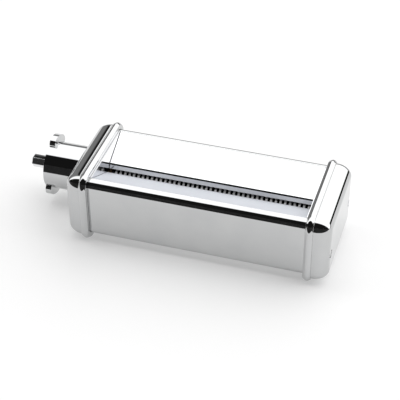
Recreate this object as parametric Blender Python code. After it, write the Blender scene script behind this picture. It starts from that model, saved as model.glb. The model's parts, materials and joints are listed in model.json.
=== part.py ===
"""Grooved-roller pasta cutter that plugs into a stand mixer, as an assembly of separate pieces.

Metres, +Z up. X runs along the rollers with the drive end at -X, and -Y is the front.
The origin is under the middle of the whole object, on the surface that it stands on.
Below, x positions are counted from the middle of the housing; the empties shift them to the origin.
"""
import math

import bmesh
import bpy

MM = 0.001

# Housing: outline of the two covers, seen along X
BODY_LENGTH = 160.4 * MM
BODY_DEPTH = 74.4 * MM
BODY_BOTTOM = 4.8 * MM
BODY_TOP = 52.8 * MM
BODY_CORNER = 5.7 * MM
SHEET = 1.2 * MM
GAP = 0.3 * MM

# End caps: a proud flange, then a hollow cap with well rounded end edges, larger than the covers
FLANGE_LENGTH = 5.7 * MM
FLANGE_PROUD = 2.2 * MM
FLANGE_EDGE = 1.2 * MM
CAP_PROUD = 2.6 * MM
CAP_LENGTH = 11.9 * MM
CAP_EDGE = 8.5 * MM
CAP_WALL = CAP_PROUD - GAP
COVER_TUCK = 1.5 * MM

# End plates that carry the rollers
PLATE_INNER = 79.0 * MM
PLATE_OUTER = 82.0 * MM
PLATE_INSET = SHEET + GAP

# Hopper: two guide plates that lead the dough sheet into the slot above the rollers
RIM_EDGE = 30.7 * MM
GUIDE_TOP = 52.3 * MM
GUIDE_SHEET = 1.0 * MM
FRONT_GUIDE_EDGE = (-1.0 * MM, 37.2 * MM)
REAR_GUIDE_BEND = (5.1 * MM, 40.6 * MM)
REAR_GUIDE_LIP = (3.8 * MM, 37.0 * MM)
BEND_RADIUS = 1.8 * MM

# Rollers and their gears
GEAR_MODULE = 1.0 * MM
GEAR_TEETH = 16
AXIS_SPACING = GEAR_MODULE * GEAR_TEETH
REAR_AXIS = (9.4 * MM, 27.6 * MM)
FRONT_AXIS = (REAR_AXIS[0] - AXIS_SPACING, REAR_AXIS[1])
NIP_Y = REAR_AXIS[0] - AXIS_SPACING / 2
DISC_PITCH = 3.5 * MM
DISC_WIDTH = 1.6 * MM
DISC_RADIUS = 8.9 * MM
GROOVE_RADIUS = 6.8 * MM
REAR_DISCS = 43
FRONT_DISCS = 42
COLLAR_END = 77.3 * MM
JOURNAL_RADIUS = 4.4 * MM
JOURNAL_END = 91.0 * MM
TENON_RADIUS = 2.5 * MM
TENON_LENGTH = 4.5 * MM
GEAR_NEAR = 84.0 * MM
GEAR_FAR = 90.0 * MM
GEAR_TIP_RADIUS = 8.9 * MM
GEAR_ROOT_RADIUS = 6.8 * MM
GEAR_BACKLASH = 0.14 * MM
PRESSURE_ANGLE = math.radians(20)

# Bushes and retaining rings on the journals
BUSH_RADIUS = 6.2 * MM
BUSH_BORE = JOURNAL_RADIUS + GAP
BUSH_FLANGE_RADIUS = 7.6 * MM
BUSH_FLANGE_START = COLLAR_END + GAP
RING_RADIUS = 6.4 * MM
RING_WIDTH = 1.2 * MM
RING_GAP = 0.5 * MM

# Mounting hub and drive shaft
HUB_RADIUS = 17.8 * MM
HUB_BORE = 7.8 * MM
HUB_END = 127.5 * MM
HUB_CHAMFER = 0.8 * MM
LUG_HEIGHT = 5.4 * MM
LUG_WIDTH = 4.7 * MM
LUG_HALF_ANGLE = math.radians(33)
LUG_TILT = math.radians(24)
LUG_COUNT = 2
SHAFT_RADIUS = 5.2 * MM
SHAFT_ROUND_END = 128.5 * MM
SHAFT_TIP = 143.0 * MM
HEX_FLATS = 8.5 * MM
HEX_CHAMFER = 1.0 * MM
HUB_BUSH_START = 100.0 * MM
HUB_BUSH_END = 124.0 * MM
HUB_SCREW_CIRCLE = 12.7 * MM
HUB_SCREWS = 3

# Tie rods, fixed to the end plates by screws
TIE_ROD_Y = 30.5 * MM
TIE_ROD_Z = 24.7 * MM
TIE_ROD_RADIUS = 3.0 * MM
COMB_ROD_OFFSET = 14.6 * MM
COMB_ROD_Z = 13.4 * MM
COMB_ROD_RADIUS = 2.5 * MM
THREAD_RADIUS = 1.5 * MM
THREAD_DEPTH = 7.0 * MM
SCREW_REACH = 76.0 * MM
SCREW_HEAD_LENGTH = 2.0 * MM
BOSS_RADIUS = 4.2 * MM
RECESS_RADIUS = 3.1 * MM
RECESS_DEPTH = 2.4 * MM

# Stripper combs under the rollers
COMB_SHEET = 1.2 * MM
COMB_FINGER = 4.5 * MM
COMB_WIDTH = 12.0 * MM
COMB_FINGER_WIDTH = 1.3 * MM
COMB_TIP = (3.6 * MM, 21.7 * MM)
COMB_SLOPE = math.radians(52)

# Outlet in the housing's underside
OUTLET_HALF = 15.0 * MM

CORNER_STEPS = 4
ROUND_STEPS = 16
ROLLER_STEPS = 10
HUB_STEPS = 32
MERGE = 1e-7

FLANGE_FACE = BODY_LENGTH / 2
CAP_START = FLANGE_FACE + FLANGE_LENGTH
CAP_END = CAP_START + CAP_LENGTH
HOUSING_X = (SHAFT_TIP - CAP_END) / 2
DRIVE, OUTER = -1, 1
COLOURS = {
    "chrome": ((0.80, 0.80, 0.80), 1.0, 0.05),
    "polished_steel": ((0.74, 0.74, 0.75), 1.0, 0.12),
    "ground_steel": ((0.62, 0.62, 0.63), 1.0, 0.28),
    "zinc_steel": ((0.50, 0.51, 0.52), 1.0, 0.40),
    "bronze": ((0.55, 0.36, 0.16), 1.0, 0.38),
}


# ---------------------------------------------------------------- helpers

def clear_scene():
    for old in list(bpy.data.objects):
        bpy.data.objects.remove(old)


def finish_material(name):
    colour, metallic, roughness = COLOURS[name]
    material = bpy.data.materials.new(name)
    material.use_nodes = True
    shader = material.node_tree.nodes["Principled BSDF"]
    shader.inputs["Base Color"].default_value = (*colour, 1.0)
    shader.inputs["Metallic"].default_value = metallic
    shader.inputs["Roughness"].default_value = roughness
    return material


def pivot(name, y, z):
    empty = bpy.data.objects.new(name, None)
    empty.location = (HOUSING_X, y, z)
    bpy.context.scene.collection.objects.link(empty)
    return empty


def to_object(name, bm, finish, parent, location=(0.0, 0.0, 0.0), smooth=False):
    """Closes a bmesh into an object; finish None makes a hidden cutter."""
    bmesh.ops.remove_doubles(bm, verts=bm.verts, dist=MERGE)
    bmesh.ops.recalc_face_normals(bm, faces=bm.faces)
    mesh = bpy.data.meshes.new(name)
    bm.to_mesh(mesh)
    bm.free()
    if smooth:
        mesh.shade_smooth()
        mesh.set_sharp_from_angle(angle=math.radians(35))
    obj = bpy.data.objects.new(name, mesh)
    obj.parent = parent
    obj.location = location
    if finish is None:
        obj.hide_render = True
        obj.display_type = "WIRE"
    else:
        mesh.materials.append(finish_material(finish))
    bpy.context.scene.collection.objects.link(obj)
    return obj


def turned(name, profile, finish, parent, centre=(0.0, 0.0), steps=ROUND_STEPS):
    """A body turned about X through centre (y, z). The profile holds (x, radius) points; it is
    closed into a ring unless it starts and ends on the axis."""
    bm = bmesh.new()
    points = [bm.verts.new((x, 0.0, radius)) for x, radius in profile]
    edges = [bm.edges.new(pair) for pair in zip(points, points[1:])]
    if profile[0][1] > 0:
        edges.append(bm.edges.new((points[-1], points[0])))
    bmesh.ops.spin(bm, geom=points + edges, cent=(0, 0, 0), axis=(1, 0, 0),
                   angle=2 * math.pi, steps=steps, use_duplicate=False)
    return to_object(name, bm, finish, parent, (0.0, *centre), smooth=True)


def extruded(name, outline, x_start, x_end, finish, parent, location=(0.0, 0.0, 0.0)):
    """A prism along X over an outline of (y, z) points."""
    bm = bmesh.new()
    face = bm.faces.new([bm.verts.new((x_start, y, z)) for y, z in outline])
    grown = bmesh.ops.extrude_face_region(bm, geom=[face])
    moved = [item for item in grown["geom"] if isinstance(item, bmesh.types.BMVert)]
    bmesh.ops.translate(bm, verts=moved, vec=(x_end - x_start, 0.0, 0.0))
    return to_object(name, bm, finish, parent, location)


def stacked(name, sections, finish, parent, ring=False):
    """A skin over outlines of equal length, each (x, [(y, z), ...]); ends closed unless a ring."""
    bm = bmesh.new()
    loops = [[bm.verts.new((x, y, z)) for y, z in outline] for x, outline in sections]
    if ring:
        loops.append(loops[0])
    else:
        bm.faces.new(loops[0])
        bm.faces.new(loops[-1])
    for near, far in zip(loops, loops[1:]):
        for i in range(len(near)):
            j = (i + 1) % len(near)
            bm.faces.new((near[i], near[j], far[j], far[i]))
    return to_object(name, bm, finish, parent, smooth=True)


def carve(target, tool, operation="DIFFERENCE"):
    modifier = target.modifiers.new(tool.name, "BOOLEAN")
    modifier.operation = operation
    modifier.solver = "EXACT"
    modifier.object = tool


def drill(target, name, x_start, x_end, radius, centre, parent):
    profile = [(x_start, 0.0), (x_start, radius), (x_end, radius), (x_end, 0.0)]
    carve(target, turned(name, profile, None, parent, centre, ROUND_STEPS))


def arc(centre, radius, start, end, steps):
    """Points (y, z) on an arc; angles in degrees, counted from +Y towards +Z."""
    angles = [math.radians(start + (end - start) * i / steps) for i in range(steps + 1)]
    return [(centre[0] + radius * math.cos(a), centre[1] + radius * math.sin(a)) for a in angles]


def body_outline(grow=0.0):
    """The housing's rounded outline, grown outwards by a distance (or shrunk if it is negative)."""
    radius = max(BODY_CORNER + grow, 0.8 * MM)
    half = BODY_DEPTH / 2 + grow - radius
    low = BODY_BOTTOM - grow + radius
    high = BODY_TOP + grow - radius
    corners = [((half, high), 0), ((-half, high), 90), ((-half, low), 180), ((half, low), 270)]
    return [p for c, start in corners for p in arc(c, radius, start, start + 90, CORNER_STEPS)]


def thickened(path, thickness):
    """A closed outline of a sheet whose outer face is the path; the sheet lies to its left."""
    inner = []
    for i, point in enumerate(path):
        before = path[max(i - 1, 0)]
        after = path[min(i + 1, len(path) - 1)]
        first = math.atan2(point[1] - before[1], point[0] - before[0]) if i else None
        last = math.atan2(after[1] - point[1], after[0] - point[0]) if i < len(path) - 1 else None
        first = last if first is None else first
        last = first if last is None else last
        turn = (last - first + math.pi) % (2 * math.pi) - math.pi
        middle = first + turn / 2 + math.pi / 2
        reach = thickness / math.cos(turn / 2)
        inner.append((point[0] + reach * math.cos(middle), point[1] + reach * math.sin(middle)))
    return path + inner[::-1]


def mirrored(points, middle=0.0):
    return [(2 * middle - y, z) for y, z in points]


# ---------------------------------------------------------------- housing

def cover_path(outlet_edge):
    """Front cover's outer face, from the hopper's rim over the top and down to the outlet."""
    half = BODY_DEPTH / 2 - BODY_CORNER
    top = arc((-half, BODY_TOP - BODY_CORNER), BODY_CORNER, 90, 180, CORNER_STEPS)
    bottom = arc((-half, BODY_BOTTOM + BODY_CORNER), BODY_CORNER, 180, 270, CORNER_STEPS)
    return [(-RIM_EDGE, BODY_TOP)] + top + bottom + [(outlet_edge, BODY_BOTTOM)]


def make_covers(frame):
    """Both covers are tucked into the end caps' mouths."""
    reach = FLANGE_FACE + COVER_TUCK
    front = thickened(cover_path(NIP_Y - OUTLET_HALF), SHEET)
    rear = mirrored(thickened(cover_path(-NIP_Y - OUTLET_HALF), SHEET))
    extruded("front_cover", front, -reach, reach, "chrome", frame)
    extruded("rear_cover", rear, -reach, reach, "chrome", frame)


def make_guides(frame):
    reach = PLATE_INNER - GAP
    start = (-RIM_EDGE + GAP, GUIDE_TOP)
    below = [(y, z - GUIDE_SHEET) for y, z in (FRONT_GUIDE_EDGE, start)]
    extruded("front_guide_plate", [start, FRONT_GUIDE_EDGE] + below, -reach, reach,
             "polished_steel", frame)
    extruded("rear_guide_plate", rear_guide_outline(), -reach, reach, "polished_steel", frame)


def rear_guide_outline():
    """A sloping plate, a rounded bend and a steep lip that turns the dough down to the rollers."""
    start = (RIM_EDGE - 3 * GAP, GUIDE_TOP)
    slope = math.atan2(start[1] - REAR_GUIDE_BEND[1], start[0] - REAR_GUIDE_BEND[0])
    steep = math.atan2(REAR_GUIDE_BEND[1] - REAR_GUIDE_LIP[1], REAR_GUIDE_BEND[0] - REAR_GUIDE_LIP[0])
    setback = BEND_RADIUS * math.tan((steep - slope) / 2)
    y = REAR_GUIDE_BEND[0] + setback * math.cos(slope) + BEND_RADIUS * math.sin(slope)
    z = REAR_GUIDE_BEND[1] + setback * math.sin(slope) - BEND_RADIUS * math.cos(slope)
    first = 90 + math.degrees(slope)
    last = 90 + math.degrees(steep)
    bend = arc((y, z), BEND_RADIUS, first, last, CORNER_STEPS)
    return thickened([start] + bend + [REAR_GUIDE_LIP], GUIDE_SHEET)


def make_end_plate(name, side, frame):
    """The plate fits inside the covers; its raised top closes the hopper's end up to the rim."""
    inner, outer = side * PLATE_INNER, side * PLATE_OUTER
    outline = body_outline(-PLATE_INSET)
    corner = CORNER_STEPS + 1
    edge = RIM_EDGE - GAP
    top = [(edge, BODY_TOP - PLATE_INSET), (edge, BODY_TOP),
           (-edge, BODY_TOP), (-edge, BODY_TOP - PLATE_INSET)]
    plate = extruded(name, outline[:corner] + top + outline[corner:], inner, outer,
                     "polished_steel", frame)
    holes = [(REAR_AXIS, BUSH_RADIUS), (FRONT_AXIS, BUSH_RADIUS)]
    holes += [(place, TIE_ROD_RADIUS) for place in tie_rod_places()]
    holes += [(place, COMB_ROD_RADIUS) for place in comb_rod_places()]
    for i, (centre, radius) in enumerate(holes):
        drill(plate, f"cut_{name}_{i}", inner - side * MM, outer + side * MM, radius + GAP,
              centre, frame)


def tie_rod_places():
    return [(-TIE_ROD_Y, TIE_ROD_Z), (TIE_ROD_Y, TIE_ROD_Z)]


def comb_rod_places():
    return [(NIP_Y - COMB_ROD_OFFSET, COMB_ROD_Z), (NIP_Y + COMB_ROD_OFFSET, COMB_ROD_Z)]


def edge_round(x, grow, radius, start, end, side):
    """Sections round an edge whose arc centre is at x, in from the outline grown by grow."""
    steps = [math.radians(start + (end - start) * i / CORNER_STEPS) for i in range(CORNER_STEPS + 1)]
    return [(side * (x + radius * math.cos(a)), body_outline(grow - radius + radius * math.sin(a)))
            for a in steps]


def make_end_cap(name, side, frame):
    """Flange and hollow cap in one casting, open towards the housing."""
    proud = CAP_PROUD + FLANGE_PROUD
    sections = edge_round(CAP_END - CAP_EDGE, GAP, CAP_EDGE - CAP_WALL, 0, 90, side)
    sections += [(side * FLANGE_FACE, body_outline(GAP))]
    sections += edge_round(FLANGE_FACE + FLANGE_EDGE, proud, FLANGE_EDGE, 180, 90, side)
    sections += edge_round(CAP_START - FLANGE_EDGE, proud, FLANGE_EDGE, 90, 0, side)
    sections += [(side * CAP_START, body_outline(CAP_PROUD))]
    sections += edge_round(CAP_END - CAP_EDGE, CAP_PROUD, CAP_EDGE, 90, 0, side)
    return stacked(name, sections, "chrome", frame)


def make_outer_cap(frame):
    cap = make_end_cap("outer_end_cap", OUTER, frame)
    for i, centre in enumerate(tie_rod_places()):
        start, end = PLATE_OUTER + GAP, CAP_END - CAP_WALL / 2
        profile = [(start, 0.0), (start, BOSS_RADIUS), (end, BOSS_RADIUS), (end, 0.0)]
        carve(cap, turned(f"add_boss_{i}", profile, None, frame, centre, ROUND_STEPS), "UNION")
        drill(cap, f"cut_bolt_{i}", start - MM, CAP_END + MM, THREAD_RADIUS + GAP, centre, frame)
        drill(cap, f"cut_recess_{i}", CAP_END - RECESS_DEPTH, CAP_END + MM, RECESS_RADIUS,
              centre, frame)


def make_drive_cap(frame):
    cap = make_end_cap("drive_end_cap", DRIVE, frame)
    near, far = -(CAP_END - CAP_WALL - MM), -(CAP_END + MM)
    drill(cap, "cut_cap_bore", near, far, HUB_BORE, REAR_AXIS, frame)
    for i, centre in enumerate(hub_screw_places()):
        drill(cap, f"cut_cap_screw_{i}", near, far, THREAD_RADIUS + GAP, centre, frame)


# ---------------------------------------------------------------- drive

def hub_screw_places():
    turns = [2 * math.pi * i / HUB_SCREWS for i in range(HUB_SCREWS)]
    return [(REAR_AXIS[0] + HUB_SCREW_CIRCLE * math.cos(a),
             REAR_AXIS[1] + HUB_SCREW_CIRCLE * math.sin(a)) for a in turns]


def lug_outline(turn):
    """A bayonet lug seen along X: a bump with rounded shoulders that starts inside the hub's wall."""
    steps = 2 * CORNER_STEPS + 2
    points = []
    for i in range(steps + 1):
        share = 2 * i / steps - 1
        angle = turn + share * LUG_HALF_ANGLE
        radius = HUB_RADIUS - HUB_CHAMFER + (LUG_HEIGHT + HUB_CHAMFER) * math.sqrt(1 - share ** 4)
        points.append((radius * math.cos(angle), radius * math.sin(angle)))
    middle = HUB_RADIUS - LUG_HEIGHT
    return points + [(middle * math.cos(turn), middle * math.sin(turn))]


def make_hub(frame):
    start, end = -(CAP_END + GAP), -HUB_END
    profile = [(start, HUB_BORE), (start, HUB_RADIUS), (end + HUB_CHAMFER, HUB_RADIUS),
               (end, HUB_RADIUS - HUB_CHAMFER), (end, HUB_BORE)]
    hub = turned("mounting_hub", profile, "chrome", frame, REAR_AXIS, HUB_STEPS)
    for i in range(LUG_COUNT):
        turn = math.pi / 2 - LUG_TILT + 2 * math.pi * i / LUG_COUNT
        lug = extruded(f"add_lug_{i}", lug_outline(turn), end + GAP, end + LUG_WIDTH, None, frame,
                       (0.0, *REAR_AXIS))
        carve(hub, lug, "UNION")
    for i, centre in enumerate(hub_screw_places()):
        depth = start - THREAD_DEPTH - 2 * GAP
        drill(hub, f"cut_hub_screw_{i}", start + MM, depth, THREAD_RADIUS + GAP, centre, frame)


def sleeve(name, x_start, x_end, bore, radius, finish, parent, centre=(0.0, 0.0)):
    profile = [(x_start, bore), (x_start, radius), (x_end, radius), (x_end, bore)]
    return turned(name, profile, finish, parent, centre)


def make_shaft(axis):
    """Round through the hub, with a socket for the roller's tenon and a six-sided tip, flat side up."""
    start = -(JOURNAL_END + GAP)
    socket = start - TENON_LENGTH - GAP
    hole = TENON_RADIUS + GAP
    profile = [(socket, 0.0), (socket, hole), (start, hole), (start, SHAFT_RADIUS),
               (-SHAFT_ROUND_END, SHAFT_RADIUS), (-SHAFT_ROUND_END, 0.0)]
    shaft = turned("drive_shaft", profile, "ground_steel", axis)
    corner = HEX_FLATS / 2 / math.cos(math.pi / 6)
    tip = [(-SHAFT_ROUND_END + MM, 0.0), (-SHAFT_ROUND_END + MM, corner),
           (-SHAFT_TIP + HEX_CHAMFER, corner), (-SHAFT_TIP, corner - HEX_CHAMFER), (-SHAFT_TIP, 0.0)]
    hexagon = turned("add_hex_tip", tip, None, axis, steps=6)
    hexagon.rotation_euler.x = math.pi / 6
    carve(shaft, hexagon, "UNION")


def roller_profile(count, tenon):
    """Half section of a grooved roller with its collars and journals, from -X to +X."""
    left = [(-JOURNAL_END, 0.0), (-JOURNAL_END, JOURNAL_RADIUS)]
    if tenon:
        end = -JOURNAL_END - TENON_LENGTH
        left = [(end, 0.0), (end, TENON_RADIUS), (-JOURNAL_END, TENON_RADIUS)] + left[1:]
    profile = left + [(-COLLAR_END, JOURNAL_RADIUS), (-COLLAR_END, GROOVE_RADIUS)]
    for i in range(count):
        middle = (i - (count - 1) / 2) * DISC_PITCH
        near, far = middle - DISC_WIDTH / 2, middle + DISC_WIDTH / 2
        profile += [(near, GROOVE_RADIUS), (near, DISC_RADIUS)]
        profile += [(far, DISC_RADIUS), (far, GROOVE_RADIUS)]
    right_end = PLATE_OUTER + RING_GAP + 2 * RING_WIDTH
    profile += [(COLLAR_END, GROOVE_RADIUS), (COLLAR_END, JOURNAL_RADIUS)]
    return profile + [(right_end, JOURNAL_RADIUS), (right_end, 0.0)]


def gear_outline(phase):
    """Involute spur gear outline; a tooth's middle is at the phase angle."""
    pitch_radius = GEAR_MODULE * GEAR_TEETH / 2
    base = pitch_radius * math.cos(PRESSURE_ANGLE)
    half = math.pi / (2 * GEAR_TEETH) - GEAR_BACKLASH / 2 / pitch_radius
    radii = [GEAR_ROOT_RADIUS, base, (base + GEAR_TIP_RADIUS) / 2, GEAR_TIP_RADIUS]
    spread = [half + involute(PRESSURE_ANGLE) - involute(math.acos(min(base / r, 1.0))) for r in radii]
    outline = []
    for tooth in range(GEAR_TEETH):
        middle = phase + 2 * math.pi * tooth / GEAR_TEETH
        flank = [(middle - s, r) for s, r in zip(spread, radii)]
        flank += [(middle + s, r) for s, r in zip(spread[::-1], radii[::-1])]
        outline += [(r * math.cos(a), r * math.sin(a)) for a, r in flank]
    return outline


def involute(angle):
    return math.tan(angle) - angle


def make_gear(name, phase, axis):
    outline = gear_outline(phase)
    bore = [(y / math.hypot(y, z) * BUSH_BORE, z / math.hypot(y, z) * BUSH_BORE) for y, z in outline]
    near, far = -GEAR_NEAR, -GEAR_FAR
    sections = [(near, bore), (near, outline), (far, outline), (far, bore)]
    stacked(name, sections, "ground_steel", axis, ring=True)


def make_rollers(rear, front):
    turned("rear_cutter_roller", roller_profile(REAR_DISCS, True), "ground_steel", rear,
           steps=ROLLER_STEPS)
    turned("front_cutter_roller", roller_profile(FRONT_DISCS, False), "ground_steel", front,
           steps=ROLLER_STEPS)
    make_gear("rear_timing_gear", 0.0, rear)
    make_gear("front_timing_gear", math.pi / GEAR_TEETH, front)
    start = PLATE_OUTER + RING_GAP
    sleeve("rear_outer_ring", start, start + RING_WIDTH, BUSH_BORE, RING_RADIUS, "zinc_steel", rear)
    sleeve("front_outer_ring", start, start + RING_WIDTH, BUSH_BORE, RING_RADIUS, "zinc_steel", front)


def make_bush(name, side, centre, frame):
    """A flanged bearing bush pressed into an end plate."""
    flange, neck, end = side * BUSH_FLANGE_START, side * (PLATE_INNER - GAP), side * PLATE_OUTER
    profile = [(flange, BUSH_BORE), (flange, BUSH_FLANGE_RADIUS), (neck, BUSH_FLANGE_RADIUS),
               (neck, BUSH_RADIUS), (end, BUSH_RADIUS), (end, BUSH_BORE)]
    turned(name, profile, "bronze", frame, centre)


def make_bearings(frame):
    for side, end in ((DRIVE, "drive"), (OUTER, "outer")):
        make_bush(f"rear_{end}_bush", side, REAR_AXIS, frame)
        make_bush(f"front_{end}_bush", side, FRONT_AXIS, frame)
    sleeve("hub_bush", -HUB_BUSH_START, -HUB_BUSH_END, SHAFT_RADIUS + GAP, HUB_BORE - GAP, "bronze",
           frame, REAR_AXIS)


# ---------------------------------------------------------------- rods, screws and combs

def make_rod(name, centre, radius, frame):
    hole = THREAD_RADIUS + GAP
    floor = PLATE_OUTER - THREAD_DEPTH
    profile = [(-floor, 0.0), (-floor, hole), (-PLATE_OUTER, hole), (-PLATE_OUTER, radius),
               (PLATE_OUTER, radius), (PLATE_OUTER, hole), (floor, hole), (floor, 0.0)]
    turned(name, profile, "zinc_steel", frame, centre)


def make_screw(name, head_x, reach_x, head_radius, centre, frame):
    """A pan-head screw whose seat is at head_x and whose thread ends at reach_x."""
    out = math.copysign(1.0, head_x - reach_x)
    top = head_x + out * SCREW_HEAD_LENGTH
    shoulder = top - out * SCREW_HEAD_LENGTH / 3
    dimple = top - out * SCREW_HEAD_LENGTH / 2
    profile = [(reach_x, 0.0), (reach_x, THREAD_RADIUS), (head_x, THREAD_RADIUS),
               (head_x, head_radius), (shoulder, head_radius), (top, head_radius * 0.75),
               (top, head_radius * 0.4), (dimple, 0.0)]
    turned(name, profile, "zinc_steel", frame, centre, ROUND_STEPS // 2)


def make_rods_and_screws(frame):
    seat = PLATE_OUTER + GAP
    for label, place in zip(("front", "rear"), tie_rod_places()):
        make_rod(f"{label}_tie_rod", place, TIE_ROD_RADIUS, frame)
        make_screw(f"{label}_tie_rod_screw", -seat, -SCREW_REACH, BOSS_RADIUS, place, frame)
        make_screw(f"{label}_cap_screw", CAP_END - RECESS_DEPTH + GAP, SCREW_REACH,
                   RECESS_RADIUS - GAP, place, frame)
    for label, place in zip(("front", "rear"), comb_rod_places()):
        make_rod(f"{label}_comb_rod", place, COMB_ROD_RADIUS, frame)
        for side, end in ((DRIVE, "drive"), (OUTER, "outer")):
            make_screw(f"{label}_comb_screw_{end}", side * seat, side * SCREW_REACH,
                       COMB_ROD_RADIUS + 3 * GAP, place, frame)
    wall = -(CAP_END - CAP_WALL)
    for i, place in enumerate(hub_screw_places()):
        make_screw(f"hub_screw_{i + 1}", wall + GAP, wall - CAP_WALL - THREAD_DEPTH,
                   BOSS_RADIUS - MM, place, frame)


def comb_outline(count):
    """A stripper comb laid flat: (x, y) with its fingers pointing to +y and one in each groove."""
    half = PLATE_INNER - GAP
    points = [(-half, -COMB_WIDTH + COMB_FINGER), (-half, 0.0)]
    for i in range(count):
        middle = (i - (count - 1) / 2) * DISC_PITCH
        near, far = middle - COMB_FINGER_WIDTH / 2, middle + COMB_FINGER_WIDTH / 2
        points += [(near, 0.0), (near, COMB_FINGER), (far, COMB_FINGER), (far, 0.0)]
    return points + [(half, 0.0), (half, -COMB_WIDTH + COMB_FINGER)]


def make_comb(name, grooves, direction, frame):
    """Direction is +1 for the rear comb, which slopes down to the rear, and -1 for the front one."""
    bm = bmesh.new()
    across, down = math.cos(COMB_SLOPE), math.sin(COMB_SLOPE)
    tip_y = NIP_Y + direction * COMB_TIP[0]
    corners = []
    for x, along in comb_outline(grooves):
        run = COMB_FINGER - along
        corners.append(bm.verts.new((x, tip_y + direction * run * across, COMB_TIP[1] - run * down)))
    face = bm.faces.new(corners)
    grown = bmesh.ops.extrude_face_region(bm, geom=[face])
    moved = [item for item in grown["geom"] if isinstance(item, bmesh.types.BMVert)]
    bmesh.ops.translate(bm, verts=moved, vec=(0, -direction * COMB_SHEET * down, -COMB_SHEET * across))
    to_object(name, bm, "polished_steel", frame)


# ---------------------------------------------------------------- assembly

clear_scene()
housing = pivot("housing_frame", 0.0, 0.0)
rear_pivot = pivot("rear_roller_axis", *REAR_AXIS)
front_pivot = pivot("front_roller_axis", *FRONT_AXIS)
make_covers(housing)
make_guides(housing)
make_end_plate("drive_end_plate", DRIVE, housing)
make_end_plate("outer_end_plate", OUTER, housing)
make_outer_cap(housing)
make_drive_cap(housing)
make_hub(housing)
make_shaft(rear_pivot)
make_rollers(rear_pivot, front_pivot)
make_bearings(housing)
make_rods_and_screws(housing)
make_comb("rear_stripper_comb", REAR_DISCS - 1, 1, housing)
make_comb("front_stripper_comb", FRONT_DISCS - 1, -1, housing)
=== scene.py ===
"""Looks of the grooved-roller pasta cutter: fine meshes, metal finishes, studio and camera.

Metres, +Z up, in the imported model's frame. As in the CAD part, x positions are counted from the
middle of the housing, and the mesh helpers shift them to the frame.
"""
import json
import math

import bmesh
import bpy
from mathutils import Matrix, Vector


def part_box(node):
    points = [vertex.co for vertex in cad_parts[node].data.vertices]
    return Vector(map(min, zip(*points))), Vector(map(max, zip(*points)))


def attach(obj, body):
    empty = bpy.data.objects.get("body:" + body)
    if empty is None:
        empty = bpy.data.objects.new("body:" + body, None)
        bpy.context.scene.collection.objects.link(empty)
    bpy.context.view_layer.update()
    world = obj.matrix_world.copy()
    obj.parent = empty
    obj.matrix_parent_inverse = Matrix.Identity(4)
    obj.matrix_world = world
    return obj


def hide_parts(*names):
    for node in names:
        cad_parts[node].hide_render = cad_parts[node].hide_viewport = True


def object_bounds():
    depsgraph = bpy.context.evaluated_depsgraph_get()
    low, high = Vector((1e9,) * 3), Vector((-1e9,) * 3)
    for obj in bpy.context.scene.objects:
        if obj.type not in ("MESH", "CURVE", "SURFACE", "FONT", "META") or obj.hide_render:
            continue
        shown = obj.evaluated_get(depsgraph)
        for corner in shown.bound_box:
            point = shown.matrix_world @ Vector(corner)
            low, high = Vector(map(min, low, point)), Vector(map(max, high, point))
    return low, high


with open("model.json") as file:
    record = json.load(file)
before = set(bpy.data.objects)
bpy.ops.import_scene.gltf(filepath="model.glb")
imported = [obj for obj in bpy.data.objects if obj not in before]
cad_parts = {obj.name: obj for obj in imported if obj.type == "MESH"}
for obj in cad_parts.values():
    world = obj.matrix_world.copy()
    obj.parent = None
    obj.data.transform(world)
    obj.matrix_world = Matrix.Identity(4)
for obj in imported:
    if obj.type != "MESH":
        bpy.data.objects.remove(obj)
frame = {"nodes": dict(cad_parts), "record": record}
cad_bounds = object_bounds()

MM = 0.001
GAP = 0.3 * MM
DRIVE, OUTER = -1, 1

# Fineness of the meshes
CORNER_STEPS = 16
ROUND_STEPS = 64
ROLLER_STEPS = 48
HUB_STEPS = 96
CAP_STEPS = 20
RIM_STEPS = 12
FLOOR_STEPS = 96
SHARP_ANGLE = 30.0
FLAT_FACE_WEIGHT = 100
MERGE_DISTANCE = 1e-7

# Covers and end caps. Here the flanges are domed and the caps' end edges are longer along X
# than deep, which the CAD part leaves out.
BODY_CORNER = 5.7 * MM
LEAST_CORNER = 0.8 * MM
SHEET = 1.2 * MM
COVER_TUCK = 1.5 * MM
COVER_SOFTNESS = 0.25 * MM
FLANGE_LENGTH = 5.7 * MM
FLANGE_PROUD = 2.2 * MM
FLANGE_EDGE = 0.6 * MM
FLANGE_DOME = 1.05 * MM
CAP_PROUD = 2.6 * MM
CAP_EDGE = 8.5 * MM
CAP_REACH = 11.4 * MM
CAP_WALL = CAP_PROUD - GAP
RECESS_RADIUS = 3.1 * MM
RECESS_DEPTH = 2.4 * MM
BOSS_RADIUS = 4.2 * MM
THREAD_HOLE = 1.8 * MM

# Guide plates of the hopper; the rear one's bend is rounder than in the CAD part
GUIDE_SHEET = 1.0 * MM
GUIDE_SOFTNESS = 0.2 * MM
REAR_SEAM = 0.06 * MM
REAR_GUIDE_BEND = (5.1 * MM, 40.6 * MM)
REAR_GUIDE_LIP = (3.8 * MM, 37.0 * MM)
BEND_RADIUS = 2.8 * MM

# Rollers
DISC_PITCH = 3.5 * MM
DISC_WIDTH = 1.6 * MM
DISC_RADIUS = 8.9 * MM
DISC_EDGE = 0.15 * MM
GROOVE_RADIUS = 6.8 * MM
REAR_DISCS = 43
FRONT_DISCS = 42
COLLAR_END = 77.3 * MM
JOURNAL_RADIUS = 4.4 * MM

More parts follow.
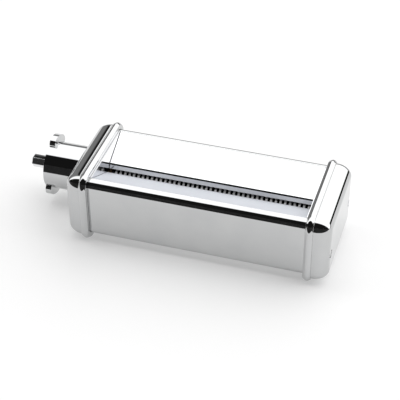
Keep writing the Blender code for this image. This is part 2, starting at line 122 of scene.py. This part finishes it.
# Mounting hub and drive shaft
HUB_RADIUS = 17.8 * MM
HUB_BORE = 7.8 * MM
HUB_CHAMFER = 0.8 * MM
HUB_SOFTNESS = 0.5 * MM
LUG_HEIGHT = 5.4 * MM
LUG_WIDTH = 4.7 * MM
LUG_HALF_ANGLE = math.radians(33)
LUG_TILT = math.radians(24)
SHAFT_RADIUS = 5.2 * MM
SHAFT_SOFTNESS = 0.3 * MM
HEX_LENGTH = 14.5 * MM
HEX_FLATS = 8.5 * MM
HEX_CHAMFER = 1.0 * MM

# Finishes. Clouding and grain are noises, and a grain is stretched along the way the metal is
# rolled or turned.
METAL_CLOUD = 38.0
DISC_CLOUD = 60.0
CLOUD_DETAIL = 4.0
GRAIN_DETAIL = 2.0
GRAIN_HEIGHT = 0.2 * MM
ROLLED = (0.05, 1.0, 1.0)
TURNED = (1.0, 0.08, 0.08)
DISC_GRAIN = 2600.0
DISC_GRAIN_DEPTH = 0.06
DISC_ROUGHNESS = (0.42, 0.52)
# Painted shade at the bottom of the roller grooves
GROOVE_PAINTED_SHADE = (0.03, 0.03, 0.035)
DISC_COLOURS = ((0.86, 0.86, 0.87), (0.95, 0.95, 0.95))

# Floor, and a black card in front that only shows in reflections
FLOOR_RADIUS = 6.0
FLOOR_DROP = 0.2 * MM
PAPER = (0.66, 0.66, 0.66, 1.0)
PAPER_SHINE = 0.1
PAPER_GLOW = 0.36
DULL = 0.9
CARD_DISTANCE = 0.12
CARD_TOP = 0.11
CARD_REACH = 1.5
CARD_BLACK = (0.01, 0.01, 0.01, 1.0)

# Studio light. Heights are degrees from the front horizon, over the top (90), to the back (180).
# Sides are the direction's X. Each pair is where a soft edge starts and ends, but SOFT_BOX_BACK
# is how high the soft box's back edge is at the two SOFT_BOX_BACK_SIDES.
WHITE = (1.0, 1.0, 1.0, 1.0)
SOFT_BOX_LIGHT = 1.9
SOFT_BOX_FRONT = (74.0, 78.0)
SOFT_BOX_BACK = (160.0, 166.0)
SOFT_BOX_BACK_SIDES = (-0.36, 0.35)
SOFT_BOX_BLUR = 2.0
LEFT_DARK_SIDES = (-0.375, -0.35)
LEFT_DARK_HEIGHTS = (100.0, 118.0)
LEFT_GREY_SIDES = (-0.54, -0.45)
BACK_GREY_SIDES = (-0.1, 0.1)
GREY_LIGHT = 0.28
ROOM_LIGHT = 0.012

# Camera; the aim's x is counted from the housing's middle
CAMERA_AZIMUTH = math.radians(17.04)
CAMERA_ELEVATION = math.radians(37.88)
CAMERA_ROLL = math.radians(-0.18)
CAMERA_DISTANCE = 0.94465
CAMERA_AIM = (-0.01023, 0.01023, 0.0178)
CAMERA_LENS = 114.06
CAMERA_SENSOR = 36.0
CAMERA_CLIP_END = 50.0


# ---------------------------------------------------------------- places read from the frame

def middle(node, axis):
    low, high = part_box(node)
    return (low[axis] + high[axis]) / 2


HOUSING_X = middle("front_cover", 0)


def place(node):
    """The middle of a node, seen along X."""
    return middle(node, 1), middle(node, 2)


def span(node):
    """A node's two ends along X, from the housing's middle."""
    low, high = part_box(node)
    return low.x - HOUSING_X, high.x - HOUSING_X


BODY_HALF_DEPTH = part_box("rear_cover")[1].y
BODY_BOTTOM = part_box("front_cover")[0].z
BODY_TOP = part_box("front_cover")[1].z
RIM_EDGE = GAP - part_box("front_guide_plate")[0].y
COVER_REACH = span("front_cover")[1]
PLATE_OUTER = span("outer_end_plate")[1]
FLANGE_FACE = COVER_REACH - COVER_TUCK
CAP_START = FLANGE_FACE + FLANGE_LENGTH
CAP_END = span("outer_end_cap")[1]
REAR_AXIS = place("rear_timing_gear")
FRONT_AXIS = place("front_timing_gear")


# ---------------------------------------------------------------- mesh helpers

def to_object(name, bm):
    bmesh.ops.remove_doubles(bm, verts=bm.verts, dist=MERGE_DISTANCE)
    bmesh.ops.recalc_face_normals(bm, faces=bm.faces)
    mesh = bpy.data.meshes.new(name)
    bm.to_mesh(mesh)
    bm.free()
    piece = bpy.data.objects.new(name, mesh)
    bpy.context.scene.collection.objects.link(piece)
    return piece


def to_piece(name, bm):
    return shade(to_object(name, bm))


def shade(piece):
    """Smooth rounds, sharp edges, and large flat faces that stay flat."""
    piece.data.shade_smooth()
    piece.data.set_sharp_from_angle(angle=math.radians(SHARP_ANGLE))
    normals = piece.modifiers.new("flat_faces_stay_flat", "WEIGHTED_NORMAL")
    normals.keep_sharp = True
    normals.weight = FLAT_FACE_WEIGHT
    return piece


def soften(piece, width, segments=2, angle=40.0):
    """Rounds the piece's sharp edges."""
    bevel = piece.modifiers.new("soft_edges", "BEVEL")
    bevel.width = width
    bevel.segments = segments
    bevel.limit_method = "ANGLE"
    bevel.angle_limit = math.radians(angle)
    bevel.harden_normals = True
    return piece


def dress(piece, body, slot, node, finish=None):
    """Puts the piece on its body in place of a CAD node, in the slot's finish or another one."""
    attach(piece, body)
    piece.data.materials.clear()
    piece.data.materials.append(FINISH[finish or slot])
    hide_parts(node)


def turned(name, profile, centre=(0.0, 0.0), steps=ROUND_STEPS):
    """A body turned about X through centre (y, z). The profile holds (x, radius) points; it is
    closed into a ring unless it starts and ends on the axis."""
    bm = bmesh.new()
    points = [bm.verts.new((x, 0.0, radius)) for x, radius in profile]
    edges = [bm.edges.new(pair) for pair in zip(points, points[1:])]
    if profile[0][1] > 0:
        edges.append(bm.edges.new((points[-1], points[0])))
    bmesh.ops.spin(bm, geom=points + edges, cent=(0, 0, 0), axis=(1, 0, 0),
                   angle=2 * math.pi, steps=steps, use_duplicate=False)
    bmesh.ops.translate(bm, verts=bm.verts, vec=(HOUSING_X, *centre))
    return to_piece(name, bm)


def rod(name, x_start, x_end, radius, centre):
    """A plain round tool for carve."""
    return turned(name, [(x_start, 0.0), (x_start, radius), (x_end, radius), (x_end, 0.0)], centre)


def prism(name, outline, x_start, x_end, centre=(0.0, 0.0)):
    """A prism along X over an outline of (y, z) points round centre."""
    bm = bmesh.new()
    face = bm.faces.new([bm.verts.new((HOUSING_X + x_start, centre[0] + y, centre[1] + z))
                         for y, z in outline])
    grown = bmesh.ops.extrude_face_region(bm, geom=[face])
    moved = [item for item in grown["geom"] if isinstance(item, bmesh.types.BMVert)]
    bmesh.ops.translate(bm, verts=moved, vec=(x_end - x_start, 0.0, 0.0))
    return to_piece(name, bm)


def stacked(name, sections):
    """A closed skin over outlines of equal length, each (x, [(y, z), ...])."""
    bm = bmesh.new()
    loops = [[bm.verts.new((HOUSING_X + x, y, z)) for y, z in outline] for x, outline in sections]
    bm.faces.new(loops[0])
    bm.faces.new(loops[-1])
    for near, far in zip(loops, loops[1:]):
        for i in range(len(near)):
            j = (i + 1) % len(near)
            bm.faces.new((near[i], near[j], far[j], far[i]))
    return to_piece(name, bm)


def carve(piece, operation, *tools):
    """Joins the tools to the piece's mesh or cuts them out of it, and removes them."""
    piece.modifiers.clear()
    for tool in tools:
        modifier = piece.modifiers.new("carve", "BOOLEAN")
        modifier.operation = operation
        modifier.solver = "EXACT"
        modifier.object = tool
    view = bpy.context.evaluated_depsgraph_get()
    piece.data = bpy.data.meshes.new_from_object(piece.evaluated_get(view))
    piece.modifiers.clear()
    for tool in tools:
        bpy.data.objects.remove(tool)
    shade(piece)


def arc(centre, radius, start, end, steps=CORNER_STEPS):
    """Points (y, z) on an arc; angles in degrees, counted from +Y towards +Z."""
    angles = [math.radians(start + (end - start) * i / steps) for i in range(steps + 1)]
    return [(centre[0] + radius * math.cos(a), centre[1] + radius * math.sin(a)) for a in angles]


def body_outline(grow):
    """The housing's rounded outline, grown outwards by a distance (or shrunk if it is negative)."""
    radius = max(BODY_CORNER + grow, LEAST_CORNER)
    half = BODY_HALF_DEPTH + grow - radius
    low, high = BODY_BOTTOM - grow + radius, BODY_TOP + grow - radius
    corners = [((half, high), 0), ((-half, high), 90), ((-half, low), 180), ((half, low), 270)]
    return [p for centre, start in corners for p in arc(centre, radius, start, start + 90)]


def thickened(path, thickness):
    """A closed outline of a sheet whose outer face is the path; the sheet lies to its left."""
    inner = []
    for i, point in enumerate(path):
        before, after = path[max(i - 1, 0)], path[min(i + 1, len(path) - 1)]
        first = math.atan2(point[1] - before[1], point[0] - before[0]) if i else None
        last = math.atan2(after[1] - point[1], after[0] - point[0]) if i < len(path) - 1 else None
        first = last if first is None else first
        last = first if last is None else last
        turn = (last - first + math.pi) % (2 * math.pi) - math.pi
        across = first + turn / 2 + math.pi / 2
        reach = thickness / math.cos(turn / 2)
        inner.append((point[0] + reach * math.cos(across), point[1] + reach * math.sin(across)))
    return path + inner[::-1]


def mirrored(points):
    return [(-y, z) for y, z in points]


# ---------------------------------------------------------------- finishes

class Nodes:
    """A node tree with short calls. A value may be a number, a vector or another node's socket."""

    def __init__(self, tree):
        self.tree = tree

    def node(self, kind, inputs=None, **settings):
        made = self.tree.nodes.new(kind)
        for key, value in settings.items():
            setattr(made, key, value)
        for key, value in (inputs or {}).items():
            if isinstance(value, bpy.types.NodeSocket):
                self.tree.links.new(value, made.inputs[key])
            else:
                made.inputs[key].default_value = value
        return made

    def math(self, operation, first, second=0.0):
        return self.node("ShaderNodeMath", {0: first, 1: second}, operation=operation).outputs[0]

    def vector_math(self, operation, first, second):
        made = self.node("ShaderNodeVectorMath", {0: first, 1: second}, operation=operation)
        return made.outputs["Vector"]

    def spread(self, value, low, high, start=0.3, end=0.7, curve="LINEAR"):
        """Goes from low to high while the value goes from start to end."""
        return self.node("ShaderNodeMapRange", {"Value": value, "From Min": start, "From Max": end,
                                                "To Min": low, "To Max": high},
                         interpolation_type=curve).outputs[0]

    def rise(self, value, edge):
        """0 before the soft edge (start, end) and 1 after it."""
        return self.spread(value, 0.0, 1.0, *edge, "SMOOTHSTEP")

    def fall(self, value, edge):
        """1 before the soft edge (start, end) and 0 after it."""
        return self.spread(value, 1.0, 0.0, *edge, "SMOOTHSTEP")


class Finish(Nodes):
    """A material's node tree; textures lie in the object's own coordinates."""

    def __init__(self, name):
        self.material = bpy.data.materials.new(name)
        self.material.use_nodes = True
        super().__init__(self.material.node_tree)
        self.shader = self.tree.nodes["Principled BSDF"]

    def coordinates(self):
        return self.node("ShaderNodeTexCoord").outputs["Object"]

    def noise(self, scale, detail, stretch=(1.0, 1.0, 1.0)):
        spot = self.node("ShaderNodeMapping", {"Vector": self.coordinates(), "Scale": stretch})
        return self.node("ShaderNodeTexNoise", {"Vector": spot.outputs[0], "Scale": scale,
                                                "Detail": detail}).outputs["Fac"]

    def mix(self, factor, dark, light):
        colours = [colour if isinstance(colour, bpy.types.NodeSocket) else (*colour, 1.0)
                   for colour in (dark, light)]
        return self.node("ShaderNodeMix", {0: factor, 6: colours[0], 7: colours[1]},
                         data_type="RGBA").outputs[2]

    def bump(self, height, strength):
        return self.node("ShaderNodeBump", {"Height": height, "Strength": strength,
                                            "Distance": GRAIN_HEIGHT}).outputs[0]

    def link(self, name, socket):
        self.tree.links.new(socket, self.shader.inputs[name])

    def set(self, name, value):
        self.shader.inputs[name].default_value = value


def metal(name, dark, light, rough, grain, depth, stretch=(1.0, 1.0, 1.0)):
    """Metal that is faintly clouded between two colours and between two roughnesses, with a
    grain of some scale, depth and stretch."""
    finish = Finish(name)
    cloud = finish.noise(METAL_CLOUD, CLOUD_DETAIL)
    finish.link("Base Color", finish.mix(finish.spread(cloud, 0.0, 1.0), dark, light))
    finish.link("Roughness", finish.spread(cloud, *rough))
    finish.link("Normal", finish.bump(finish.noise(grain, GRAIN_DETAIL, stretch), depth))
    finish.set("Metallic", 1.0)
    return finish.material


def disc_steel_with_painted_shade(name, axis):
    """Roller discs with bright ground edges, and painted shade in the grooves between them: the base
    colour goes dark towards the groove floor.
    """
    finish = Finish(name)
    offset = finish.vector_math("SUBTRACT", finish.coordinates(), (0.0, *axis))
    across = finish.vector_math("MULTIPLY", offset, (0.0, 1.0, 1.0))
    radius = finish.node("ShaderNodeVectorMath", {0: across}, operation="LENGTH").outputs["Value"]
    # Painted shade: the base colour darkens from the disc rims down into the grooves, where shade
    # falls.
    edge = finish.spread(radius, 0.0, 1.0, GROOVE_RADIUS + MM, DISC_RADIUS - 2 * DISC_EDGE)
    cloud = finish.noise(DISC_CLOUD, CLOUD_DETAIL)
    bright = finish.mix(finish.spread(cloud, 0.0, 1.0), *DISC_COLOURS)
    grain = finish.noise(DISC_GRAIN, GRAIN_DETAIL, TURNED)
    finish.link("Base Color", finish.mix(edge, GROOVE_PAINTED_SHADE, bright))
    finish.link("Roughness", finish.spread(cloud, *DISC_ROUGHNESS))
    finish.link("Normal", finish.bump(grain, DISC_GRAIN_DEPTH))
    finish.set("Metallic", 1.0)
    return finish.material


FINISH = {
    "rear_discs": disc_steel_with_painted_shade("rear_disc_steel", REAR_AXIS),
    "front_discs": disc_steel_with_painted_shade("front_disc_steel", FRONT_AXIS),
    "chrome": metal("chrome_plate", (0.525, 0.53, 0.535), (0.56, 0.565, 0.565), (0.02, 0.05),
                    260.0, 0.01),
    "polished_steel": metal("bright_sheet", (0.74, 0.745, 0.76), (0.80, 0.80, 0.81), (0.06, 0.12),
                            2400.0, 0.03, ROLLED),
    "satin_steel": metal("satin_sheet", (0.68, 0.70, 0.74), (0.73, 0.75, 0.79), (0.60, 0.68),
                         2400.0, 0.03, ROLLED),
    "ground_steel": metal("ground_steel", (0.60, 0.60, 0.61), (0.72, 0.72, 0.72), (0.24, 0.36),
                          2600.0, 0.10, TURNED),
    "zinc_steel": metal("zinc_plate", (0.42, 0.43, 0.45), (0.56, 0.56, 0.55), (0.28, 0.45),
                        1500.0, 0.12),
    "bronze": metal("sintered_bronze", (0.15, 0.11, 0.07), (0.22, 0.16, 0.10), (0.36, 0.55),
                    3000.0, 0.25),
}


# ---------------------------------------------------------------- housing

def cover_path(outlet_edge):
    """Front cover's outer face, from the hopper's rim over the top and down to the outlet."""
    half = BODY_HALF_DEPTH - BODY_CORNER
    top = arc((-half, BODY_TOP - BODY_CORNER), BODY_CORNER, 90, 180)
    bottom = arc((-half, BODY_BOTTOM + BODY_CORNER), BODY_CORNER, 180, 270)
    return [(-RIM_EDGE, BODY_TOP)] + top + bottom + [(outlet_edge, BODY_BOTTOM)]


def make_covers():
    front = thickened(cover_path(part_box("front_cover")[1].y), SHEET)
    rear = mirrored(thickened(cover_path(-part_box("rear_cover")[0].y), SHEET))
    for node, outline in (("front_cover", front), ("rear_cover", rear)):
        cover = prism(f"{node}_plated", outline, -COVER_REACH, COVER_REACH)
        dress(soften(cover, COVER_SOFTNESS), "housing", "chrome", node)


def make_guides():
    low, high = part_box("front_guide_plate")
    reach = span("front_guide_plate")[1]
    start, end = (low.y, high.z), (high.y, low.z + GUIDE_SHEET)
    below = [(y, z - GUIDE_SHEET) for y, z in (end, start)]
    front = prism("front_guide_sheet", [start, end] + below, -reach, reach)
    dress(soften(front, GUIDE_SOFTNESS), "housing", "polished_steel", "front_guide_plate",
          finish="satin_steel")
    rear = prism("rear_guide_sheet", rear_guide_outline(), -reach, reach)
    dress(soften(rear, GUIDE_SOFTNESS, angle=50.0), "housing", "polished_steel", "rear_guide_plate")


def rear_guide_outline():
    """A sloping plate, a rounded bend and a steep lip that turns the dough down to the rollers."""
    start = (RIM_EDGE - REAR_SEAM, BODY_TOP)
    slope = math.atan2(start[1] - REAR_GUIDE_BEND[1], start[0] - REAR_GUIDE_BEND[0])
    steep = math.atan2(REAR_GUIDE_BEND[1] - REAR_GUIDE_LIP[1], REAR_GUIDE_BEND[0] - REAR_GUIDE_LIP[0])
    setback = BEND_RADIUS * math.tan((steep - slope) / 2)
    y = REAR_GUIDE_BEND[0] + setback * math.cos(slope) + BEND_RADIUS * math.sin(slope)
    z = REAR_GUIDE_BEND[1] + setback * math.sin(slope) - BEND_RADIUS * math.cos(slope)
    bend = arc((y, z), BEND_RADIUS, 90 + math.degrees(slope), 90 + math.degrees(steep))
    return thickened([start] + bend + [REAR_GUIDE_LIP], GUIDE_SHEET)


def edge_round(x, grow, radius, start, end, side, steps=RIM_STEPS, reach=None):
    """Sections round an edge whose arc centre is at x, in from the outline grown by grow.
    Reach is the curve's length along X where it isn't a circle."""
    turns = [math.radians(start + (end - start) * i / steps) for i in range(steps + 1)]
    return [(side * (x + (reach or radius) * math.cos(a)),
             body_outline(grow - radius + radius * math.sin(a))) for a in turns]


def flange_dome(side):
    """The flange's slightly domed rim between two small rounded edges."""
    proud = CAP_PROUD + FLANGE_PROUD
    shoulder = proud - FLANGE_DOME
    half = FLANGE_LENGTH / 2 - FLANGE_EDGE
    centre = FLANGE_FACE + FLANGE_LENGTH / 2
    shares = [2 * i / RIM_STEPS - 1 for i in range(RIM_STEPS + 1)]
    dome = [(side * (centre + half * share), body_outline(proud - FLANGE_DOME * share ** 2))
            for share in shares]
    start = edge_round(centre - half, shoulder, FLANGE_EDGE, 180, 110, side, steps=4)
    end = edge_round(centre + half, shoulder, FLANGE_EDGE, 70, 0, side, steps=4)
    return start + dome + end


def end_cap(name, side):
    """Flange and hollow cap in one casting, open towards the housing."""
    sections = edge_round(CAP_END - CAP_EDGE, GAP, CAP_EDGE - CAP_WALL, 0, 90, side)
    sections += [(side * FLANGE_FACE, body_outline(GAP))]
    sections += flange_dome(side)
    sections += [(side * CAP_START, body_outline(CAP_PROUD))]
    sections += edge_round(CAP_END - CAP_REACH, CAP_PROUD, CAP_EDGE, 90, 0, side,
                           steps=CAP_STEPS, reach=CAP_REACH)
    return stacked(name, sections)


def make_outer_cap():
    """The outer cap has two bosses, each with a screw hole and a recess for the screw's head."""
    cap = end_cap("outer_cap_plated", OUTER)
    places = [place("front_cap_screw"), place("rear_cap_screw")]
    for tool, operation, x_start, x_end, radius in (
            ("boss", "UNION", PLATE_OUTER + GAP, CAP_END - CAP_WALL / 2, BOSS_RADIUS),
            ("recess", "DIFFERENCE", CAP_END - RECESS_DEPTH, CAP_END + MM, RECESS_RADIUS),
            ("hole", "DIFFERENCE", PLATE_OUTER - MM, CAP_END, THREAD_HOLE)):
        carve(cap, operation, *(rod(tool, x_start, x_end, radius, centre) for centre in places))
    dress(cap, "housing", "chrome", "outer_end_cap")


def make_drive_cap():
    cap = end_cap("drive_cap_plated", DRIVE)
    bore = rod("bore", -(CAP_END - CAP_WALL - MM), -(CAP_END + MM), HUB_BORE, REAR_AXIS)
    carve(cap, "DIFFERENCE", bore)
    dress(cap, "housing", "chrome", "drive_end_cap")


# ---------------------------------------------------------------- drive and rollers

def lug_outline(turn):
    """A bayonet lug seen along X: a bump with rounded shoulders that starts inside the hub's wall."""
    steps = 2 * CORNER_STEPS
    points = []
    for i in range(steps + 1):
        share = 2 * i / steps - 1
        angle = turn + share * LUG_HALF_ANGLE
        radius = HUB_RADIUS - HUB_CHAMFER + (LUG_HEIGHT + HUB_CHAMFER) * math.sqrt(1 - share ** 4)
        points.append((radius * math.cos(angle), radius * math.sin(angle)))
    inside = HUB_RADIUS - LUG_HEIGHT
    return points + [(inside * math.cos(turn), inside * math.sin(turn))]


def make_hub():
    end, start = span("mounting_hub")
    profile = [(start, HUB_BORE), (start, HUB_RADIUS), (end, HUB_RADIUS), (end, HUB_BORE)]
    hub = turned("hub_plated", profile, REAR_AXIS, HUB_STEPS)
    turns = [math.pi / 2 - LUG_TILT, 3 * math.pi / 2 - LUG_TILT]
    carve(hub, "UNION", *(prism("lug", lug_outline(turn), end + GAP, end + LUG_WIDTH, REAR_AXIS)
                          for turn in turns))
    dress(soften(hub, HUB_SOFTNESS, 3, 50.0), "housing", "chrome", "mounting_hub")


def make_shaft():
    """Round through the hub, with a six-sided tip, flat side up."""
    tip, start = span("drive_shaft")
    round_end = tip + HEX_LENGTH
    shaft = rod("drive_shaft_ground", start, round_end, SHAFT_RADIUS, REAR_AXIS)
    corner = HEX_FLATS / 2 / math.cos(math.pi / 6)
    profile = [(round_end + MM, 0.0), (round_end + MM, corner), (tip + HEX_CHAMFER, corner),
               (tip, corner - HEX_CHAMFER), (tip, 0.0)]
    hexagon = turned("hex_tip", profile, steps=6)
    hexagon.rotation_euler.x = math.pi / 6
    hexagon.location = (0.0, *REAR_AXIS)
    carve(shaft, "UNION", hexagon)
    dress(soften(shaft, SHAFT_SOFTNESS, 3), "rear_roller_drive", "ground_steel", "drive_shaft",
          finish="polished_steel")


def roller_profile(count, start, end):
    """Half section of a grooved roller; each disc's two edges are slightly chamfered."""
    profile = [(start, 0.0), (start, JOURNAL_RADIUS)]
    profile += [(-COLLAR_END, JOURNAL_RADIUS), (-COLLAR_END, GROOVE_RADIUS)]
    for i in range(count):
        x = (i - (count - 1) / 2) * DISC_PITCH
        near, far = x - DISC_WIDTH / 2, x + DISC_WIDTH / 2
        shoulder = DISC_RADIUS - DISC_EDGE
        profile += [(near, GROOVE_RADIUS), (near, shoulder), (near + DISC_EDGE, DISC_RADIUS)]
        profile += [(far - DISC_EDGE, DISC_RADIUS), (far, shoulder), (far, GROOVE_RADIUS)]
    profile += [(COLLAR_END, GROOVE_RADIUS), (COLLAR_END, JOURNAL_RADIUS)]
    return profile + [(end, JOURNAL_RADIUS), (end, 0.0)]


def make_roller(label, count, axis, body):
    profile = roller_profile(count, *span(f"{label}_cutter_roller"))
    roller = turned(f"{label}_roller_grooved", profile, axis, ROLLER_STEPS)
    dress(roller, body, "ground_steel", f"{label}_cutter_roller", finish=f"{label}_discs")


def finish_cad_nodes():
    """Gives every CAD node, also those that stay visible, the finish of its slot in the record."""
    slots = {subpart["node"]: subpart["material_slot"] for subpart in frame["record"]["subparts"]}
    for node, item in frame["nodes"].items():
        for material_slot in item.material_slots:
            material_slot.material = FINISH[slots[node]]


# ---------------------------------------------------------------- studio

def make_floor():
    bm = bmesh.new()
    bmesh.ops.create_circle(bm, cap_ends=True, segments=FLOOR_STEPS, radius=FLOOR_RADIUS)
    floor = to_object("studio_floor", bm)
    finish = Finish("studio_paper")
    finish.set("Base Color", PAPER)
    finish.set("Roughness", DULL)
    finish.set("Specular IOR Level", PAPER_SHINE)
    finish.set("Emission Color", WHITE)
    finish.set("Emission Strength", PAPER_GLOW)
    floor.data.materials.append(finish.material)
    floor.location.z = cad_bounds[0][2] - FLOOR_DROP


def make_dark_card():
    bm = bmesh.new()
    y, low = -BODY_HALF_DEPTH - CARD_DISTANCE, cad_bounds[0][2]
    corners = [(-CARD_REACH, low), (CARD_REACH, low), (CARD_REACH, CARD_TOP), (-CARD_REACH, CARD_TOP)]
    bm.faces.new([bm.verts.new((x, y, z)) for x, z in corners])
    card = to_object("dark_card", bm)
    finish = Finish("black_card")
    finish.set("Base Color", CARD_BLACK)
    finish.set("Roughness", DULL)
    card.data.materials.append(finish.material)
    card.visible_camera = False
    card.visible_diffuse = False
    card.visible_shadow = False


def make_world():
    """A soft box from overhead to the back, a dark room in front and at the left, and dim grey
    walls at the far left and low at the back left."""
    world = bpy.data.worlds.new("studio")
    bpy.context.scene.world = world
    world.use_nodes = True
    nodes = Nodes(world.node_tree)
    direction = nodes.node("ShaderNodeTexCoord").outputs["Generated"]
    side, depth, up = nodes.node("ShaderNodeSeparateXYZ", {0: direction}).outputs
    height = nodes.math("ARCTAN2", up, nodes.math("MULTIPLY", depth, -1.0))
    height = nodes.math("MULTIPLY", height, 180 / math.pi)
    back_start = nodes.spread(side, *SOFT_BOX_BACK, *SOFT_BOX_BACK_SIDES, "SMOOTHSTEP")
    past_back = nodes.math("SUBTRACT", height, back_start)
    back_edge = (-SOFT_BOX_BLUR, SOFT_BOX_BLUR)
    left = nodes.math("MULTIPLY", nodes.fall(side, LEFT_DARK_SIDES),
                      nodes.rise(height, LEFT_DARK_HEIGHTS))
    soft_box = nodes.math("MULTIPLY", nodes.rise(height, SOFT_BOX_FRONT),
                          nodes.fall(past_back, back_edge))
    soft_box = nodes.math("MULTIPLY", soft_box, nodes.math("SUBTRACT", 1.0, left))
    left_grey = nodes.math("MULTIPLY", left, nodes.fall(side, LEFT_GREY_SIDES))
    back_grey = nodes.math("MULTIPLY", nodes.rise(past_back, back_edge),
                           nodes.fall(side, BACK_GREY_SIDES))
    grey = nodes.math("MAXIMUM", left_grey, back_grey)
    light = nodes.math("ADD", nodes.math("MULTIPLY", soft_box, SOFT_BOX_LIGHT),
                       nodes.math("MULTIPLY", grey, GREY_LIGHT))
    background = nodes.tree.nodes["Background"]
    background.inputs["Color"].default_value = WHITE
    nodes.tree.links.new(nodes.math("ADD", light, ROOM_LIGHT), background.inputs["Strength"])


def make_camera():
    data = bpy.data.cameras.new("camera")
    data.lens = CAMERA_LENS
    data.sensor_width = CAMERA_SENSOR
    data.clip_end = CAMERA_CLIP_END
    aim = Vector((HOUSING_X + CAMERA_AIM[0], CAMERA_AIM[1], CAMERA_AIM[2]))
    level = math.cos(CAMERA_ELEVATION)
    back = Vector((math.sin(CAMERA_AZIMUTH) * level, -math.cos(CAMERA_AZIMUTH) * level,
                   math.sin(CAMERA_ELEVATION)))
    right = Vector((math.cos(CAMERA_AZIMUTH), math.sin(CAMERA_AZIMUTH), 0.0))
    axes = Matrix((right, back.cross(right), back)).transposed()
    axes = axes @ Matrix.Rotation(CAMERA_ROLL, 3, "Z")
    camera = bpy.data.objects.new("camera", data)
    camera.matrix_world = Matrix.Translation(aim + back * CAMERA_DISTANCE) @ axes.to_4x4()
    bpy.context.scene.collection.objects.link(camera)
    bpy.context.scene.camera = camera


# ---------------------------------------------------------------- scene

make_covers()
make_guides()
make_outer_cap()
make_drive_cap()
make_hub()
make_shaft()
make_roller("rear", REAR_DISCS, REAR_AXIS, "rear_roller_drive")
make_roller("front", FRONT_DISCS, FRONT_AXIS, "front_roller")
finish_cad_nodes()
make_floor()
make_dark_card()
make_world()
make_camera()
bpy.context.scene.view_settings.view_transform = "Standard"
